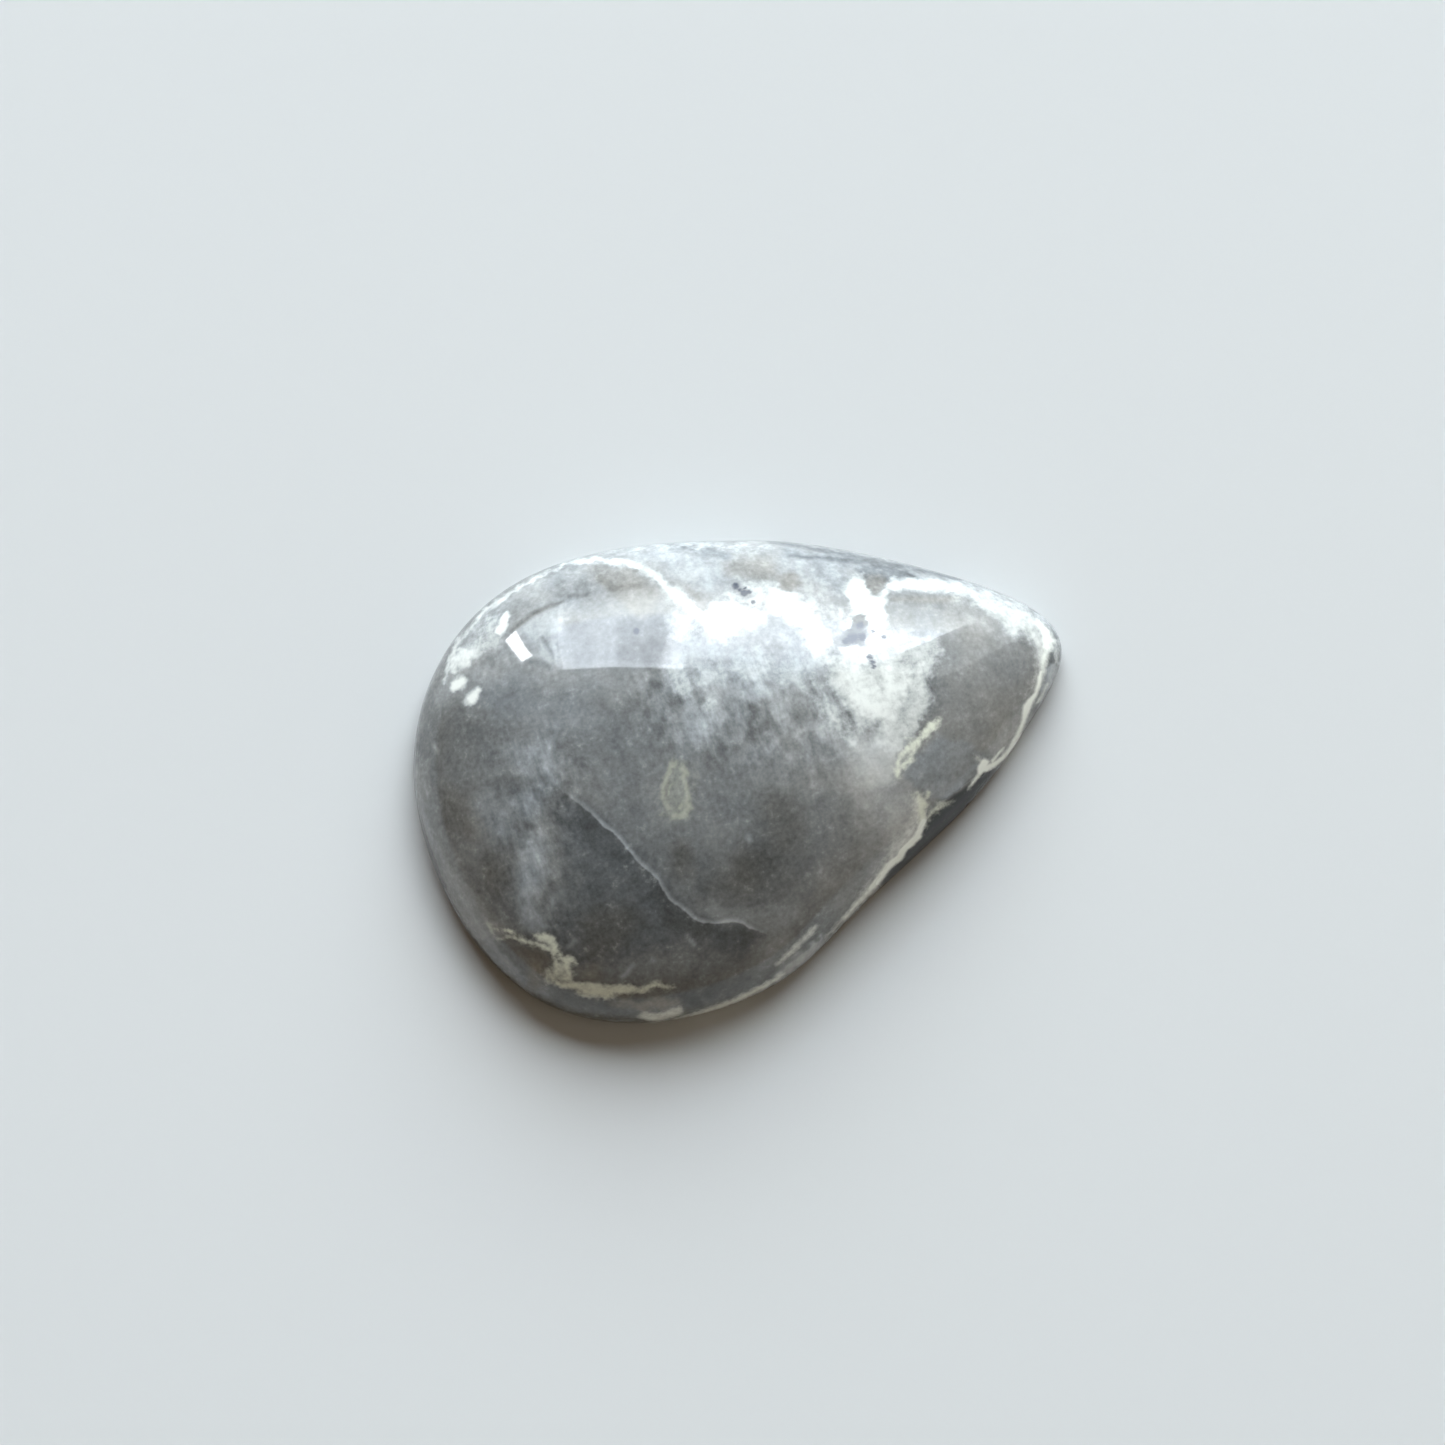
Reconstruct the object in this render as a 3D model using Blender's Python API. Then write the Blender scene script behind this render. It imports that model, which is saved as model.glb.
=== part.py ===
"""A pear-shaped cabochon of serpentine: one polished stone with a domed top and a ground flat back.

The stone lies on its flat back at z = 0, centred on the origin, with its long axis along X and its
point towards +X. Everything is in millimetres here and is turned to metres when the mesh is made.
"""

import bmesh
import bpy
import numpy as np

MM = 0.001

# Driving sizes of the stone, in millimetres
LENGTH = 45.0
HEIGHT = 9.0
EDGE_HEIGHT = 0.9
BACK_BEVEL = 0.55

# The girdle seen from above. A closed cubic B-spline follows these points round from the stone's point
GIRDLE_POINTS = np.array([
    (23.8, -1.0),
    (20.8, 3.95),
    (9.65, 11.45),
    (4.65, 13.6),
    (-11.8, 18.6),
    (-24.4, 7.35),
    (-21.35, -14.4),
    (-3.75, -16.95),
    (1.85, -13.15),
    (13.8, -8.65),
    (18.45, -5.0),
])

# The dome is the height of a soap film blown up from the girdle, raised to this power. A power of a
# half over a true ellipse would be half an ellipsoid, and a smaller one has steeper flanks
DOME_POWER = 0.46
FILM_TERMS = 10
CROWN_STEPS = 60

# How finely the solid is faceted
COLUMNS = 104
DOME_RINGS = 20
SPLINE_STEPS = 200
# A bend of one radian takes as many columns as this length of straight girdle
TURN_LENGTH = 9.0

# The grey of the stone and the gloss of its polish
STONE_COLOUR = (0.22, 0.23, 0.22, 1.0)
POLISH_ROUGHNESS = 0.08
SERPENTINE_IOR = 1.56


def closed_b_spline(points, steps):
    """The uniform cubic B-spline of a closed polygon, with this many samples for each of its spans."""
    t = (np.arange(steps) / steps)[None, :, None]
    before, start, end, after = (np.roll(points, -shift, axis=0)[:, None, :] for shift in (-1, 0, 1, 2))
    curve = (
        (1 - t) ** 3 * before
        + (3 * t**3 - 6 * t**2 + 4) * start
        + (-3 * t**3 + 3 * t**2 + 3 * t + 1) * end
        + t**3 * after
    ) / 6
    return curve.reshape(-1, 2)


def spread_along(curve, count):
    """The closed curve at this many points, closer together where it bends."""
    steps = np.roll(curve, -1, axis=0) - curve
    lengths = np.linalg.norm(steps, axis=1)
    headings = np.unwrap(np.arctan2(steps[:, 1], steps[:, 0]))
    turns = np.abs(np.diff(headings, append=headings[0] + 2 * np.pi))
    reach = np.concatenate([[0.0], np.cumsum(lengths + TURN_LENGTH * turns)])
    wanted = np.linspace(0.0, reach[-1], count, endpoint=False)
    closed = np.vstack([curve, curve[:1]])
    return np.column_stack([np.interp(wanted, reach, closed[:, axis]) for axis in (0, 1)])


def girdle_outline(count):
    """The girdle, scaled to LENGTH and centred on the origin."""
    curve = closed_b_spline(GIRDLE_POINTS, SPLINE_STEPS)
    low, high = curve.min(axis=0), curve.max(axis=0)
    scale = LENGTH / (high[0] - low[0])
    return spread_along((curve - (low + high) / 2) * scale, count)


def as_complex(plan):
    """Points of the plan as complex numbers, with half the stone's length as the unit."""
    return (plan[:, 0] + 1j * plan[:, 1]) / (LENGTH / 2)


def film_over(girdle):
    """The complex polynomial of the film: its real part is |z|^2 / 4 all along the girdle."""
    z = as_complex(girdle)
    powers = z[:, None] ** np.arange(FILM_TERMS)
    terms = np.hstack([powers.real, -powers.imag[:, 1:]])
    fit = np.linalg.lstsq(terms, np.abs(z) ** 2 / 4, rcond=None)[0]
    imaginary = np.concatenate([[0.0], fit[FILM_TERMS:]])
    return np.polynomial.Polynomial(fit[:FILM_TERMS] + 1j * imaginary)


def film_height(film, plan):
    """The film's height over points of the plan: nil at the girdle and most at the crown."""
    z = as_complex(plan)
    return film(z).real - np.abs(z) ** 2 / 4


def crown_of(film):
    """Where the film is level. Its slope is nil where z is twice the conjugate of the derivative."""
    slope = film.deriv()
    z = 0j
    for _ in range(CROWN_STEPS):
        z = 2 * np.conj(slope(z))
    return np.array([z.real, z.imag]) * (LENGTH / 2)


def at_height(plan, height):
    """A level ring of points."""
    return np.column_stack([plan, np.full(len(plan), height)])


def inset_outline(outline, distance):
    """The closed outline moved inwards, square to itself, by this distance."""
    along = np.roll(outline, -1, axis=0) - np.roll(outline, 1, axis=0)
    along /= np.linalg.norm(along, axis=1, keepdims=True)
    inward = np.column_stack([-along[:, 1], along[:, 0]])
    return outline + distance * inward


def dome_ring(girdle, film, crown, latitude):
    """One ring of the dome, at a latitude of 0 at the girdle and a quarter turn at the crown.

    The ring is the girdle shrunk towards the crown by the latitude's cosine. The little that the
    fitted film is off at the girdle is taken away along each spoke, so that the ring meets the edge.
    """
    outward = np.cos(latitude)
    plan = crown + outward * (girdle - crown)
    leftover = outward**2 * film_height(film, girdle)
    share = (film_height(film, plan) - leftover) / film_height(film, crown[None])
    return np.column_stack([plan, EDGE_HEIGHT + (HEIGHT - EDGE_HEIGHT) * share**DOME_POWER])


def stone_rings(girdle, film, crown):
    """Every ring of the stone from the flat back up, apart from the crown's single point."""
    rings = [
        at_height(inset_outline(girdle, BACK_BEVEL), 0.0),
        at_height(girdle, BACK_BEVEL),
        at_height(girdle, EDGE_HEIGHT),
    ]
    latitudes = np.linspace(0.0, np.pi / 2, DOME_RINGS + 1)[1:-1]
    return rings + [dome_ring(girdle, film, crown, latitude) for latitude in latitudes]


def make_stone_mesh():
    """One closed body: a flat back, walls between the rings, and a fan up to the crown."""
    girdle = girdle_outline(COLUMNS)
    film = film_over(girdle)
    crown = crown_of(film)
    bm = bmesh.new()
    loops = [[bm.verts.new(point * MM) for point in ring] for ring in stone_rings(girdle, film, crown)]
    bm.faces.new(reversed(loops[0]))
    for lower, upper in zip(loops, loops[1:]):
        for a in range(COLUMNS):
            b = (a + 1) % COLUMNS
            bm.faces.new((lower[a], lower[b], upper[b], upper[a]))
    top = bm.verts.new((crown[0] * MM, crown[1] * MM, HEIGHT * MM))
    for a in range(COLUMNS):
        bm.faces.new((loops[-1][a], loops[-1][(a + 1) % COLUMNS], top))
    bmesh.ops.recalc_face_normals(bm, faces=bm.faces)
    mesh = bpy.data.meshes.new("serpentine_cabochon")
    bm.to_mesh(mesh)
    bm.free()
    mesh.shade_smooth()
    return mesh


def polished_serpentine():
    """Grey serpentine with a gloss polish."""
    material = bpy.data.materials.new("polished_serpentine")
    material.use_nodes = True
    surface = material.node_tree.nodes["Principled BSDF"]
    surface.inputs["Base Color"].default_value = STONE_COLOUR
    surface.inputs["Roughness"].default_value = POLISH_ROUGHNESS
    surface.inputs["Metallic"].default_value = 0.0
    surface.inputs["IOR"].default_value = SERPENTINE_IOR
    return material


def main():
    for old in list(bpy.data.objects):
        bpy.data.objects.remove(old, do_unlink=True)
    stone = bpy.data.objects.new("serpentine_cabochon", make_stone_mesh())
    stone.data.materials.append(polished_serpentine())
    bpy.context.scene.collection.objects.link(stone)


main()
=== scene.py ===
"""A pear-shaped cabochon of grey serpentine on pale paper, lit by a tall window beyond it.

The stone is one polished surface, worked out on a grid of columns round it and rings up it. The marks in
it are drawn over the photograph, in its pixels: each point of the surface is looked up there by the
camera's perspective, and how deep it lies in each mark is kept on the surface for the material to
read. Other lengths are in millimetres and are turned to metres when something is made. Angles are in
degrees.
"""

import bpy
import numpy as np
from mathutils import Matrix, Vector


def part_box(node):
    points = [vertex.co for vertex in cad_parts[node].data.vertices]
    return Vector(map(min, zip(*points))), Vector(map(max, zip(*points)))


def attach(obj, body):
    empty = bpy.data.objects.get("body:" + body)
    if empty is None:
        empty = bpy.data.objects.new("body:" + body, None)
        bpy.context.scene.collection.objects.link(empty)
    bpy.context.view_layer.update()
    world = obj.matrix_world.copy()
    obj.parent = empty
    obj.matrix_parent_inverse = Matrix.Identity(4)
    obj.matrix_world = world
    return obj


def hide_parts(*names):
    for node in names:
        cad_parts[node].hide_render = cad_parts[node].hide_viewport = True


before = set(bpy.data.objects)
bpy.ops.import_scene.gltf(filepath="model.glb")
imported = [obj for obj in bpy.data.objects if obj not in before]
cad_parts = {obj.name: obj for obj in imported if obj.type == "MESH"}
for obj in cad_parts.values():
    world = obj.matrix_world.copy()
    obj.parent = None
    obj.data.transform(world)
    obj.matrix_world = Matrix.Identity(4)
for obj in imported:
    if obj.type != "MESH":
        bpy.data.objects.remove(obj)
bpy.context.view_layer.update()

MM = 0.001
STONE_NODE = "serpentine_cabochon"

# The photograph, and the camera that took it: nearly overhead, turned a little about the stone. The frame
# is this wide where the camera aims, which is a little to the left of the stone's middle and beyond it
PHOTO_SIDE = 1445.0
CAMERA_TURN = -20.15
CAMERA_ELEVATION = 80.0
CAMERA_DISTANCE = 300.0
FRAME_WIDTH = 97.8
SENSOR_WIDTH = 36.0
AIM_RIGHT = -1.55
AIM_FAR = 1.8

# The stone's own sizes, as the solid has them
EDGE_HEIGHT = 0.9
BACK_BEVEL = 0.55
GIRDLE_POINTS = np.array([
    (23.8, -1.0),
    (20.8, 3.95),
    (9.65, 11.45),
    (4.65, 13.6),
    (-11.8, 18.6),
    (-24.4, 7.35),
    (-21.35, -14.4),
    (-3.75, -16.95),
    (1.85, -13.15),
    (13.8, -8.65),
    (18.45, -5.0),
])
DOME_POWER = 0.46
FILM_TERMS = 10
CROWN_STEPS = 60

# The grid that the stone's surface is worked out on. A bend of one radian takes as many columns as the
# turn length takes of straight girdle
COLUMNS = 560
DOME_RINGS = 156
WALL_RINGS = 5
BACK_RINGS = 14
SPLINE_STEPS = 200
TURN_LENGTH = 3.0

# Hand polishing leaves the dome very slightly uneven: each wave's length, depth and phase, and the two
# ways over the plan that it runs
POLISH_WAVES = ((9.0, 0.006, 0.4), (5.5, 0.003, 2.1), (3.2, 0.001, 4.4))
POLISH_WAYS = ((1.0, 0.4), (-0.5, 0.8))

# How far the marks wander, in pixels, on their way through the stone to its back, and how far in from
# the rim they do so in full. Each wave has its radians for each millimetre in x and in y, and its phase
WANDER = 26.0
WANDER_INSET = 5.0
SIDEWAYS_WAVES = ((0.0, 0.31, 0.5), (0.17, 0.0, 0.0))
DOWNWARD_WAVES = ((0.23, 0.0, 1.0 + np.pi / 2), (0.0, 0.4, 0.0))
# Every so many points of the girdle are enough to tell how near the rim a point is
RIM_STEP = 8


# The shape of the stone


def spans(points, steps):
    """The steps along each span of a closed line, from 0 to 1, and the four points that bend it."""
    t = (np.arange(steps) / steps)[None, :, None]
    return t, *(np.roll(points, -shift, axis=0)[:, None, :] for shift in (-1, 0, 1, 2))


def closed_b_spline(points, steps):
    """The uniform cubic B-spline of a closed polygon, with this many samples for each of its spans."""
    t, before, start, end, after = spans(points, steps)
    curve = (
        (1 - t) ** 3 * before
        + (3 * t**3 - 6 * t**2 + 4) * start
        + (-3 * t**3 + 3 * t**2 + 3 * t + 1) * end
        + t**3 * after
    ) / 6
    return curve.reshape(-1, 2)


def spread_along(curve, count):
    """The closed curve at this many points, closer together where it bends."""
    steps = np.roll(curve, -1, axis=0) - curve
    lengths = np.linalg.norm(steps, axis=1)
    headings = np.unwrap(np.arctan2(steps[:, 1], steps[:, 0]))
    turns = np.abs(np.diff(headings, append=headings[0] + 2 * np.pi))
    reach = np.concatenate([[0.0], np.cumsum(lengths + TURN_LENGTH * turns)])
    wanted = np.linspace(0.0, reach[-1], count, endpoint=False)
    closed = np.vstack([curve, curve[:1]])
    return np.column_stack([np.interp(wanted, reach, closed[:, axis]) for axis in (0, 1)])


def girdle_outline(low, high):
    """The girdle's spline, stretched to fill the solid's box exactly."""
    curve = closed_b_spline(GIRDLE_POINTS, SPLINE_STEPS)
    least, most = curve.min(axis=0), curve.max(axis=0)
    fitted = low[:2] + (curve - least) * (high - low)[:2] / (most - least)
    return spread_along(fitted, COLUMNS)


def as_complex(plan, half_length):
    """Points of the plan as complex numbers, with half the stone's length as the unit."""
    return (plan[..., 0] + 1j * plan[..., 1]) / half_length


def film_over(girdle, half_length):
    """The complex polynomial of the film: its real part is |z|^2 / 4 all along the girdle."""
    z = as_complex(girdle, half_length)
    powers = z[:, None] ** np.arange(FILM_TERMS)
    terms = np.hstack([powers.real, -powers.imag[:, 1:]])
    fit = np.linalg.lstsq(terms, np.abs(z) ** 2 / 4, rcond=None)[0]
    imaginary = np.concatenate([[0.0], fit[FILM_TERMS:]])
    return np.polynomial.Polynomial(fit[:FILM_TERMS] + 1j * imaginary)


def crown_of(film, half_length):
    """Where the film is level. Its slope is nil where z is twice the conjugate of the derivative."""
    slope = film.deriv()
    z = 0j
    for _ in range(CROWN_STEPS):
        z = 2 * np.conj(slope(z))
    return np.array([z.real, z.imag]) * half_length


def dome_rings(girdle, height):
    """The dome's rings and its crown, as points.

    A ring is the girdle shrunk towards the crown by the cosine of its latitude. Its height is that of a
    soap film blown up from the girdle, the real part of a polynomial less |z|^2 / 4, raised to a power
    that gives steep flanks. The polish lowers it by up to 20 microns in slow waves.
    """
    half_length = np.ptp(girdle[:, 0]) / 2
    film = film_over(girdle, half_length)
    crown = crown_of(film, half_length)
    outward = np.cos(np.linspace(0.0, np.pi / 2, DOME_RINGS + 1)[:-1])[:, None]
    plan = crown + outward[..., None] * (girdle - crown)

    def film_height(places):
        z = as_complex(places, half_length)
        return film(z).real - np.abs(z) ** 2 / 4

    leftover = outward**2 * film_height(girdle)
    share = np.maximum((film_height(plan) - leftover) / film_height(crown), 0.0)
    level = EDGE_HEIGHT + (height - EDGE_HEIGHT) * share**DOME_POWER
    dome = np.concatenate([plan, level[..., None]], axis=-1)
    top = np.array([[*crown, height]])
    return lowered_by_polish(dome), lowered_by_polish(top)


def lowered_by_polish(points):
    """Points of the dome, lowered by the sum of products of two slow sine waves, and never raised."""
    one_way, other_way = (points[..., :2] @ np.array(way) for way in POLISH_WAYS)
    dip = np.zeros(one_way.shape)
    for wave, reach, phase in POLISH_WAVES:
        turn = 2 * np.pi / wave
        ripple = np.sin(turn * one_way + phase) * np.sin(turn * other_way + 2 * phase)
        dip += reach * (1 + ripple)
    share = np.clip((points[..., 2] - EDGE_HEIGHT) / EDGE_HEIGHT, 0.0, 1.0)
    lowered = points.copy()
    lowered[..., 2] -= dip * share
    return lowered


def inset_outline(outline, distance):
    """The closed outline moved inwards, square to itself, by this distance."""
    along = np.roll(outline, -1, axis=0) - np.roll(outline, 1, axis=0)
    along /= np.linalg.norm(along, axis=1, keepdims=True)
    return outline + distance * np.column_stack([-along[:, 1], along[:, 0]])


def wall_rings(girdle):
    """The ground edge from the flat back up to the dome: a quarter round of the bevel."""
    turns = np.linspace(0.0, np.pi / 2, WALL_RINGS)
    return np.array([
        np.column_stack([
            inset_outline(girdle, BACK_BEVEL * (1 - np.sin(turn))),
            np.full(len(girdle), BACK_BEVEL * (1 - np.cos(turn))),
        ])
        for turn in turns
    ])


def back_rings(rim):
    """The flat back: its rim shrunk towards its middle in even steps, from the middle out."""
    middle = rim.mean(axis=0)
    shares = (np.arange(1, BACK_RINGS) / BACK_RINGS)[:, None, None]
    return middle + shares * (rim - middle), middle[None]


def stone_surface(low, high):
    """All points of the stone and its faces: a pole under the back, rings round it, a pole at the crown."""
    girdle = girdle_outline(low, high)
    wall = wall_rings(girdle)
    back, underpole = back_rings(wall[0])
    dome, crown = dome_rings(girdle, high[2])
    rings = np.concatenate([back, wall, dome])
    points = np.concatenate([underpole, rings.reshape(-1, 3), crown])
    here = 1 + np.arange(len(rings) * COLUMNS).reshape(len(rings), COLUMNS)
    beside = np.roll(here, -1, axis=1)
    quads = np.stack([here[:-1], beside[:-1], beside[1:], here[1:]], axis=-1).reshape(-1, 4)
    under = np.column_stack([np.zeros(COLUMNS, int), beside[0], here[0]])
    over = np.column_stack([here[-1], beside[-1], np.full(COLUMNS, len(points) - 1)])
    return points, [*quads.tolist(), *under.tolist(), *over.tolist()]


# Where a point of the stone is in the photograph


def camera_axes():
    """The camera's right, up and back directions, and the way over the paper that is up in its picture."""
    turn, rise = np.radians(CAMERA_TURN), np.radians(CAMERA_ELEVATION)
    right = np.array([np.cos(turn), np.sin(turn), 0.0])
    far = np.array([-np.sin(turn), np.cos(turn), 0.0])
    back = -far * np.cos(rise) + np.array([0.0, 0.0, np.sin(rise)])
    return right, np.cross(back, right), back, far


RIGHT, UP, BACK, FAR = camera_axes()
AIM = RIGHT * AIM_RIGHT + FAR * AIM_FAR
CAMERA_PLACE = AIM + BACK * CAMERA_DISTANCE


def in_photo(points):
    """The photograph's pixels of these points, by the camera's own perspective."""
    ray = points - CAMERA_PLACE
    focal = PHOTO_SIDE * CAMERA_DISTANCE / FRAME_WIDTH / -(ray @ BACK)
    return np.column_stack([PHOTO_SIDE / 2 + focal * (ray @ RIGHT), PHOTO_SIDE / 2 - focal * (ray @ UP)])


def wave_sum(points, waves):
    """The sum of sine waves over the plan."""
    return sum(np.sin(along_x * points[:, 0] + along_y * points[:, 1] + phase)
               for along_x, along_y, phase in waves)


def wandered(pixels, points, rim_gap):
    """Pixels for looking up the marks, which drift sideways on their way down to the back."""
    depth = np.clip((EDGE_HEIGHT - points[:, 2]) / EDGE_HEIGHT, 0.0, 1.0)
    share = depth * np.clip(rim_gap / WANDER_INSET, 0.0, 1.0)
    drift = np.column_stack([wave_sum(points, SIDEWAYS_WAVES), wave_sum(points, DOWNWARD_WAVES)])
    return pixels + WANDER * share[:, None] * drift


# The marks, in pixels of the photograph. A patch is how strong it is, how many pixels its edge fades
# over, and its outline. A stroke is the same with a half width as the third number of each point

# White mineral, and among its strokes three painted glints of light: 1 is white with gaps, more is closer to
# solid white
WHITE_PATCHES = (
    (1.1, 14, [(703, 614), (712, 604), (725, 599), (736, 601), (744, 607), (754, 606), (764, 612),
               (764, 622), (752, 628), (738, 634), (725, 640), (712, 639), (704, 628)]),
    (1.1, 12, [(768, 588), (780, 585), (795, 591), (805, 599), (816, 607), (822, 618), (828, 628),
               (832, 640), (830, 652), (824, 660), (815, 657), (806, 648), (799, 635), (790, 622),
               (780, 614), (770, 614), (764, 608), (764, 597)]),
    (0.70, 10, [(726, 592), (740, 580), (755, 578), (770, 584), (768, 602), (752, 608), (734, 604)]),
    (1.25, 9, [(849, 602), (845, 588), (851, 579), (862, 576), (871, 579), (873, 591), (879, 594),
               (885, 586), (887, 600), (885, 614), (887, 650), (866, 656), (842, 656), (836, 646),
               (842, 632), (850, 616)]),
    (0.52, 12, [(800, 606), (824, 604), (852, 604), (852, 640), (838, 638), (822, 614)]),
    (0.20, 14, [(806, 568), (846, 574), (848, 602), (824, 604), (806, 598)]),
    (1.0, 13, [(842, 650), (888, 650), (900, 646), (906, 658), (882, 668), (850, 668), (830, 668),
               (822, 662)]),
    (1.02, 12, [(832, 664), (860, 662), (904, 658), (914, 668), (915, 690), (910, 706), (900, 724),
                (882, 726), (860, 722), (850, 712), (839, 698), (833, 684)]),
    (0.71, 11, [(888, 626), (905, 630), (934, 638), (942, 652), (936, 672), (900, 672), (890, 648)]),
    (0.76, 12, [(900, 656), (930, 650), (932, 680), (934, 702), (922, 720), (896, 726), (890, 690)]),
    (0.25, 14, [(690, 622), (742, 630), (800, 616), (812, 640), (820, 664), (800, 668), (770, 664),
                (750, 660), (714, 640)]),
    (0.42, 12, [(664, 660), (704, 658), (800, 660), (832, 680), (828, 694), (800, 688), (770, 684),
                (735, 680), (705, 686), (676, 684)]),
    (0.74, 9, [(848, 708), (880, 714), (914, 714), (920, 728), (910, 744), (890, 752), (868, 742),
               (856, 728)]),
    (0.60, 11, [(794, 682), (818, 690), (850, 716), (860, 736), (846, 742), (823, 720)]),
    (0.54, 12, [(664, 592), (684, 608), (703, 622), (698, 638), (688, 650), (674, 644), (664, 620)]),
    (0.55, 6, [(590, 551), (640, 541), (700, 541), (770, 545), (760, 550), (700, 550), (640, 551)]),
    (0.95, 5, [(451, 671), (453, 658), (460, 650), (470, 646), (475, 652), (471, 662), (463, 668),
               (457, 677)]),
    (0.60, 11, [(458, 650), (476, 624), (492, 614), (500, 624), (496, 644), (474, 662)]),
    (0.80, 10, [(950, 584), (985, 592), (1008, 600), (1030, 611), (1046, 619), (1056, 632), (1060, 646),
               (1057, 660), (1047, 668), (1041, 662), (1034, 648), (1016, 635), (998, 623), (982, 610),
               (960, 598)]),
    (0.56, 8, [(670, 664), (686, 674), (693, 686), (688, 700), (676, 694)]),
    (0.50, 7, [(698, 700), (712, 698), (714, 710), (700, 712)]),
)
WHITE_AND_GLINT_STROKES = (
    (1.1, 5, [(548, 572, 1), (566, 565, 1.2), (580, 561, 2), (596, 560, 2.5), (622, 562, 3),
              (640, 567, 3.5)]),
    (1.15, 7, [(636, 565, 2.5), (646, 570, 3), (656, 577, 3.5), (668, 588, 4), (680, 599, 5), (694, 611, 6),
               (706, 620, 6)]),
    (1.3, 7, [(884, 586, 3), (895, 584, 5), (920, 585, 5), (940, 586, 5.5), (958, 588, 4)]),
    (0.75, 10, [(955, 588, 4), (975, 593, 5), (1000, 601, 6), (1018, 611, 7), (1032, 623, 8), (1042, 636, 8),
               (1046, 650, 7), (1045, 664, 5)]),
    (1.0, 4, [(444, 684, 1), (447, 670, 1.5), (452, 655, 2), (466, 632, 2), (484, 613, 2), (500, 601, 2),
              (520, 587, 1.8), (545, 574, 1.5)]),
    (0.8, 5, [(838, 732, 1), (846, 740, 3), (853, 744, 4)]),
    # These three small white spots near the left edge are painted glints of light
    (1.25, 3, [(505, 617, 4.5), (502, 624, 3.8), (501, 630, 5)]),
    (1.3, 4, [(463, 680, 4), (456, 687, 5)]),
    (1.3, 4, [(477, 692, 4), (470, 699, 5.5)]),
)
# Clear places in the white, where the grey shows: how strong, the fade, the outline
CLEAR_PATCHES = (
    (1.55, 5, [(836, 641), (844, 632), (853, 627), (856, 617), (866, 616), (867, 643), (856, 646),
               (845, 646)]),
    (1.3, 5, [(870, 577), (884, 578), (882, 588), (874, 593), (870, 586)]),
    (0.8, 6, [(688, 588), (698, 590), (708, 598), (704, 610), (696, 604)]),
    (0.8, 5, [(780, 578), (794, 578), (799, 586), (791, 592), (782, 588)]),
    (0.12, 6, [(896, 690), (908, 688), (914, 698), (910, 712), (898, 708)]),
    (0.2, 6, [(872, 676), (884, 678), (884, 690), (874, 688)]),
    (0.35, 6, [(862, 722), (876, 722), (878, 738), (866, 740)]),
)
CLEAR_STROKES = (
    (0.8, 4, [(733, 586, 4), (742, 591, 4), (751, 594, 3)]),
    (1.2, 2.5, [(1046, 626, 1), (1049, 631, 2.2), (1054, 637, 1.5)]),
    (1.3, 2.5, [(1051, 655, 2), (1050, 660, 3), (1049, 665, 2)]),
    (1.2, 2.5, [(1046, 614, 0.5), (1054, 622, 1), (1061, 632, 1.5), (1065, 642, 1.5), (1066, 652, 2),
                (1063, 663, 2)]),
)
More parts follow.
